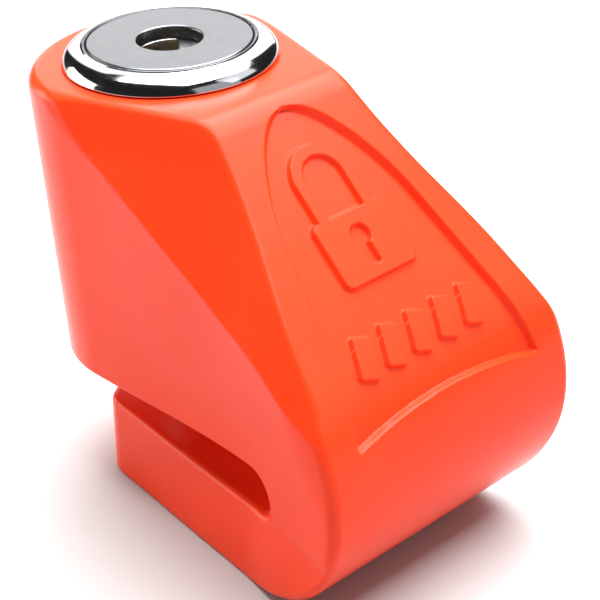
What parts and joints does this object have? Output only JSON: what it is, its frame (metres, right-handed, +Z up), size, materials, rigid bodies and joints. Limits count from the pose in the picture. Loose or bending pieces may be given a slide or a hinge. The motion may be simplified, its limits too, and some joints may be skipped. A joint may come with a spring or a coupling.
{
  "type": "disc brake lock",
  "caption": "Wedge-shaped push-down lock whose hardened pin crosses a side slot to block a motorcycle's ventilated brake disc.",
  "frame": {"origin": "middle of the footprint, on the flat underside of the lower jaw", "axes": "+Z up along the lock barrel, +X from the slot's mouth towards the sloped, closed end, +Y across the lock"},
  "size_m": [0.0628, 0.0394, 0.0567],
  "materials": {
    "paint": "gloss fluorescent orange-red powder coat",
    "chrome": "mirror polished plating",
    "face_steel": "satin, very fine even grain",
    "steel": "turned steel",
    "hard_steel": "hardened and ground, darker than the face",
    "spring_steel": "drawn wire",
    "rubber": "black nitrile, matt",
    "brass": "stamped brass, slightly dulled"
  },
  "bodies": {
    "housing": {"body": "paint", "bore_sleeve": "steel", "pin_bush": "hard_steel", "pin_socket": "hard_steel", "retaining_pin": "steel", "return_spring": "spring_steel"},
    "barrel": {"barrel_shell": "steel", "barrel_plug": "steel", "head_bezel": "chrome", "face_plate": "face_steel", "head_seal": "rubber", "barrel_o_ring": "rubber", "locking_pin": "hard_steel", "pin_cross_pin": "steel", "latch_spring": "spring_steel"},
    "rotor": {"rotor_drum": "brass", "drill_plate": "steel", "sidebar": "brass", "tail_cam": "hard_steel", "detainer_disc_1": "brass", "detainer_disc_2": "brass", "detainer_disc_3": "brass", "detainer_disc_4": "brass", "detainer_disc_5": "brass", "detainer_disc_6": "brass", "detainer_disc_7": "brass", "disc_spacers": "steel"},
    "latch": {"latch_bolt": "hard_steel"}
  },
  "joints": [
    {"name": "barrel_slide", "type": "slide", "parent": "housing", "child": "barrel", "axis": [0, 0, 1], "range_m": [0, 0.01], "deforming": ["return_spring"]},
    {"name": "rotor_turn", "type": "hinge", "parent": "barrel", "child": "rotor", "pos_m": [-0.01443, 0, 0.05], "axis": [0, 0, -1], "range_deg": [0, 90]},
    {"name": "latch_slide", "type": "slide", "parent": "barrel", "child": "latch", "axis": [1, 0, 0], "range_m": [0, 0.002], "deforming": ["latch_spring"]}
  ],
  "couplings": [
    {"joint": "latch_slide", "follows": "rotor_turn", "m_per_rad": 0.001273}
  ]
}
